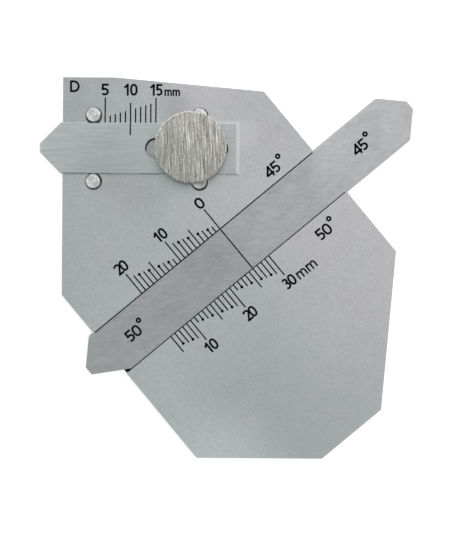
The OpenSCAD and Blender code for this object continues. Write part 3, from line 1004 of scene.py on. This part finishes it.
class WELDGAUGE_OT_figures(Operator):
    """Print the figures, the units and the degree rings of the scales and of the fixed angles"""

    bl_idname = "weld_gauge.figures"
    bl_label = "Print the figures"

    def execute(self, context):
        settings = context.scene.weld_gauge_marks
        height, stroke = settings.figure_height, settings.figure_stroke
        paint = black_paint("printed paint", settings.paint_colour)
        plate = self.slanted(PLATE_LABELS, PLATE_DEGREES, height, stroke)
        for text, x, y, squeeze, gap in DEPTH_LABELS:
            strokes = number_strokes(text, height, stroke, squeeze, gap)
            plate += printed(strokes, 0.0, (x, y), stroke)
        plate += printed(letter_d_strokes(height, stroke), 0.0, DEPTH_LETTER, stroke)
        for unit, angle in ((THROAT_UNIT, SLIDE_ANGLE), (DEPTH_UNIT, 0.0)):
            *foot, unit_height, bay, between, unit_stroke = unit
            strokes = unit_strokes(unit_height, bay, between, unit_stroke)
            plate += printed(strokes, angle, turned([foot], angle)[0], unit_stroke)
        slide = self.slanted(SLIDE_LABELS, SLIDE_DEGREES, height, stroke)
        for name, shapes, body, slot in (
            ("plate_figures", plate, BODY, "satin_plate"),
            ("throat_slide_figures", slide, THROAT_BAR, "satin_slide"),
        ):
            piece = mesh_from(name, *joined(shapes), paint)
            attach(piece, body)
        return {"FINISHED"}

    def slanted(self, labels, degrees, height, stroke):
        """Numbers and degree rings that stand along the throat slide."""
        shapes = []
        for text, along, across, squeeze, gap in labels:
            strokes = number_strokes(text, height, stroke, squeeze, gap)
            shapes += printed(strokes, SLIDE_ANGLE, along_slide(along, across), stroke)
        ring = [(True, arc((0.0, 0.0), (DEGREE_RADIUS, DEGREE_RADIUS), 0, 360, 25)[:-1])]
        for along, across in degrees:
            shapes += printed(ring, 0.0, along_slide(along, across), DEGREE_SHARE * stroke)
        return shapes


class WELDGAUGE_OT_edges(Operator):
    """Paint shade and shadow black: along the groove's broken edges, round each guide pin's gap and
    at both ends of the slot
    """

    bl_idname = "weld_gauge.edges"
    bl_label = "Blacken the gaps"

    def execute(self, context):
        settings = context.scene.weld_gauge_marks
        paint = black_paint("black gap", settings.paint_colour)
        # Painted shade along both broken edges of the groove, where the gap beside the slide is
        # dark
        low, high = PLATE_FRONT - GROOVE_EDGE_BREAK, PLATE_FRONT + PAINT_PROUD
        ends = (EDGE_STOP - PLATE_HEEL_CUT, PLATE_NOSE_CUT - EDGE_STOP)
        bars = []
        for side, share in ((-1, LOWER_EDGE_SHARE), (1, 1.0)):
            width = share * settings.gap_width
            middle = side * (GROOVE_HALF + (EDGE_INSET + width) / 2)
            line = [along_slide(along, middle) for along in ends]
            bars.append(ribbon(line, width - EDGE_INSET, low, high))
        edges = mesh_from("groove_edge_painted_shade", *joined(bars), paint)
        turn, rings = full_turn(64), []
        # Black ring round each guide pin: its dark gap, widened on one side by painted shadow
        for node, widest in PIN_SHADOW_SIDES.items():
            centre, pin_radius = round_solid(node)
            width = GAP_MEAN + GAP_SHADOW_SWING * np.cos(turn - math.radians(widest))
            radius = pin_radius - GAP_INSET + width / 2
            circle = centre + unit_circle(turn) * radius[:, None]
            rings.append(ribbon(circle, width, PLATE_FRONT - GAP_DEPTH, high, True))
        gaps = mesh_from("pin_gap_and_shadow_paint", *joined(rings), paint)
        # Painted shadow inside both ends of the slot, and in a crescent beside the nut
        slot_shadows = []
        for end, start, stop, thickness in SLOT_WALL_SHADOWS:
            radius = SLOT_RADIUS - thickness / 2
            bow = arc((end, DEPTH_CENTRE), (radius, radius), start, stop, 30)
            slot_shadows.append(ribbon(bow, thickness, *SLOT_SHADOW_LEVELS))
        radius, start, stop, width = SLOT_CRESCENT_SHADOW
        bow = arc((SLOT_ENDS[1], DEPTH_CENTRE), (radius, radius), start, stop, 24)
        slot_shadows.append(ribbon(bow, width, DEPTH_FRONT - PRINT_DEPTH, DEPTH_FRONT + PAINT_PROUD))
        slot_shadows = mesh_from("slot_end_painted_shadow", *joined(slot_shadows), paint)
        for piece, body in ((edges, BODY), (gaps, BODY), (slot_shadows, DEPTH_BAR)):
            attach(piece, body)
        return {"FINISHED"}


class WELDGAUGE_OT_nut(Operator):
    """Make the thumb nut with its sharp knurl, bevels, boss and blind hole"""

    bl_idname = "weld_gauge.nut"
    bl_label = "Make the thumb nut"

    def execute(self, context):
        settings = context.scene.weld_gauge_nut
        low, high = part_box("thumb_nut")
        centre, radius = round_solid("thumb_nut")
        base, top = low.z / MM, high.z / MM - settings.dome
        head, hole_top = base + BOSS_HEIGHT, base + HOLE_DEPTH
        bevel, depth = settings.bevel, settings.knurl_depth
        steps = settings.teeth * TOOTH_STEPS
        turn = full_turn(steps)
        # Straight flanks between narrow crests and roots: a triangle wave cut off at both ends
        wave = np.abs((settings.teeth * turn / math.pi) % 2 - 1)
        knurl = radius - depth * np.clip(1.25 * wave - 0.125, 0, 1)
        # Rows of radius and level: first the underside, from the hole's closed end out to the head
        rows = [
            (1.0, hole_top), (HOLE_RADIUS, hole_top), (HOLE_RADIUS, base + HOLE_EDGE),
            (HOLE_RADIUS + HOLE_EDGE, base), (BOSS_RADIUS - BOSS_EDGE, base),
            (BOSS_RADIUS, base + BOSS_EDGE), (BOSS_RADIUS, head),
            (radius - bevel - depth - 0.3, head),
        ]
        # The bevels are cones, and where a cone is narrower than the teeth it cuts them off
        for level in (
            *np.linspace(head, head + bevel, BEVEL_ROWS), head + bevel + KNURL_INSET,
            top - bevel - KNURL_INSET, *np.linspace(top - bevel, top, BEVEL_ROWS),
        ):
            cone = radius - max(0, bevel - (level - head)) - max(0, bevel - (top - level))
            rows.append((np.minimum(knurl, cone), level))
        # The top rises towards its middle by the dome times one minus the square of the radius
        for share in np.linspace(0.97, 0.03, DOME_ROWS):
            rows.append(((radius - bevel) * share, top + settings.dome * (1 - share**2)))
        circle = unit_circle(turn)
        rings = [
            np.column_stack([centre + np.reshape(out, (-1, 1)) * circle, np.full(steps, level)])
            for out, level in rows
        ]
        vertices = np.concatenate(rings + [[[*centre, hole_top], [*centre, top + settings.dome]]])
        index = np.arange(steps)
        after = (index + 1) % steps
        faces = []
        for start in range(0, (len(rows) - 1) * steps, steps):
            end = start + steps
            quads = [start + index, start + after, end + after, end + index]
            faces += np.column_stack(quads).tolist()
        last = (len(rows) - 1) * steps
        poles = [np.full(steps, last + steps + pole) for pole in (0, 1)]
        faces += np.column_stack([poles[0], after, index]).tolist()
        faces += np.column_stack([last + index, last + after, poles[1]]).tolist()
        material = knurled_steel(
            "nickel-toned nut", settings.colour, settings.tint, settings.roughness, centre,
            radius - bevel, top,
        )
        nut = mesh_from("thumb_nut_knurled", vertices, faces, material)
        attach(nut, NUT)
        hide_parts("thumb_nut")
        return {"FINISHED"}


class WELDGAUGE_OT_stage(Operator):
    """Set up the pale floor, the soft light and the camera that looks straight down"""

    bl_idname = "weld_gauge.stage"
    bl_label = "Set the stage"

    def execute(self, context):
        settings = context.scene.weld_gauge_stage
        self.make_camera(context, settings)
        self.make_floor()
        self.make_lamp(context, settings)
        self.make_sky(context, settings)
        context.scene.view_settings.view_transform = "Standard"
        return {"FINISHED"}

    def make_camera(self, context, settings):
        """Camera straight above the aim, with the lens that the picture's height asks for."""
        camera = bpy.data.cameras.new("camera")
        camera.sensor_fit = "VERTICAL"
        camera.sensor_height = 24.0
        camera.lens = camera.sensor_height * settings.camera_height / settings.frame_height
        holder = bpy.data.objects.new("camera", camera)
        context.scene.collection.objects.link(holder)
        holder.location = (*settings.aim, PLATE_FRONT * MM + settings.camera_height)
        holder.rotation_euler = (0.0, 0.0, settings.roll)
        context.scene.camera = holder

    def make_floor(self):
        """White floor that shines of itself in what the camera sees and in reflections."""
        material, nodes, shader = new_material("pale floor")
        shader.inputs["Base Color"].default_value = (0.8, 0.8, 0.8, 1.0)
        shader.inputs["Roughness"].default_value = 0.9
        shader.inputs["Emission Color"].default_value = (1.0, 1.0, 1.0, 1.0)
        path = nodes.add("LightPath").outputs
        mirrored = nodes.math("MULTIPLY", path["Is Glossy Ray"], FLOOR_MIRRORED)
        seen = nodes.math("MULTIPLY_ADD", path["Is Camera Ray"], FLOOR_SEEN, mirrored)
        nodes.put(shader.inputs["Emission Strength"], seen)
        sides = ((-1, -1), (1, -1), (1, 1), (-1, 1))
        corners = np.array([[x * FLOOR_HALF, y * FLOOR_HALF, FLOOR_LEVEL] for x, y in sides])
        mesh_from("floor", corners, [[0, 1, 2, 3]], material)

    def make_lamp(self, context, settings):
        """Soft key lamp above the top of the picture, aimed at the gauge."""
        lamp = bpy.data.lights.new("key lamp", "AREA")
        lamp.energy = settings.lamp
        lamp.size = LAMP_SIZE
        holder = bpy.data.objects.new("key lamp", lamp)
        context.scene.collection.objects.link(holder)
        holder.location = x, y, z = LAMP_PLACE
        tilt, turn = math.atan2(math.hypot(x, y), z), math.atan2(-y, -x) - math.pi / 2
        holder.rotation_euler = (tilt, 0.0, turn)

    def make_sky(self, context, settings):
        """Light all round that grows evenly towards the upper right, with a low glow beyond the
        upper left that catches rims. The camera sees plain white."""
        world = bpy.data.worlds.new("soft sky")
        context.scene.world = world
        world.use_nodes = True
        world.node_tree.nodes.clear()
        nodes = Nodes(world.node_tree)
        direction = nodes.add("TexCoord").outputs["Generated"]
        lean = nodes.vector("DOT_PRODUCT", direction, UPPER_RIGHT)
        side = nodes.vector("DOT_PRODUCT", direction, UPPER_LEFT)
        upright = nodes.axes(direction)["Z"]
        strength = nodes.math("MULTIPLY_ADD", lean, settings.sky_lean * settings.sky, settings.sky)
        bounded = nodes.math("MINIMUM", nodes.math("MAXIMUM", strength, SKY_LEAST), 1.0)
        even = nodes.product(bounded, nodes.ranged(upright, 0.75, 1.0, 0.35, 0.8))
        low_down = nodes.ranged(upright, 1.0, 0.0, 0.12, 0.28)
        glow = nodes.product(nodes.ranged(side, 0.0, settings.side_glow, 0.4, 0.8), low_down)
        colour = nodes.mix(nodes.rise(lean, -0.14, 0.14), SKY_COOL, SKY_WARM)
        sky = nodes.add("Background", Color=colour, Strength=nodes.math("ADD", even, glow))
        white = nodes.add("Background", Color=(1.0, 1.0, 1.0, 1.0))
        choice = nodes.add("MixShader", Fac=nodes.add("LightPath").outputs["Is Camera Ray"])
        nodes.put(choice.inputs[1], sky.outputs["Background"])
        nodes.put(choice.inputs[2], white.outputs["Background"])
        nodes.add("OutputWorld", Surface=choice.outputs["Shader"])


class WELDGAUGE_PT_looks(Panel):
    """Steps that finish the weld gauge"""

    bl_label = "Weld gauge"
    bl_idname = "WELDGAUGE_PT_looks"
    bl_space_type = "VIEW_3D"
    bl_region_type = "UI"
    bl_category = "Weld gauge"

    def draw(self, context):
        for operator in OPERATORS:
            self.layout.operator(operator.bl_idname)


OPERATORS = (
    WELDGAUGE_OT_stage,
    WELDGAUGE_OT_steel,
    WELDGAUGE_OT_scales,
    WELDGAUGE_OT_figures,
    WELDGAUGE_OT_edges,
    WELDGAUGE_OT_nut,
)
SETTINGS = {
    "weld_gauge_steel": GaugeSteelSettings,
    "weld_gauge_marks": GaugeMarkSettings,
    "weld_gauge_nut": GaugeNutSettings,
    "weld_gauge_stage": GaugeStageSettings,
}


def register():
    """Registers the settings, the operators and the panel."""
    for name, group in SETTINGS.items():
        bpy.utils.register_class(group)
        setattr(bpy.types.Scene, name, PointerProperty(type=group))
    for operator in OPERATORS:
        bpy.utils.register_class(operator)
    bpy.utils.register_class(WELDGAUGE_PT_looks)


def unregister():
    """Takes everything that register added away again."""
    bpy.utils.unregister_class(WELDGAUGE_PT_looks)
    for operator in reversed(OPERATORS):
        bpy.utils.unregister_class(operator)
    for name, group in reversed(SETTINGS.items()):
        delattr(bpy.types.Scene, name)
        bpy.utils.unregister_class(group)


def main():
    register()
    bpy.ops.weld_gauge.stage()
    bpy.ops.weld_gauge.steel()
    bpy.ops.weld_gauge.scales()
    bpy.ops.weld_gauge.figures()
    bpy.ops.weld_gauge.edges()
    bpy.ops.weld_gauge.nut()


if __name__ == "__main__":
    main()
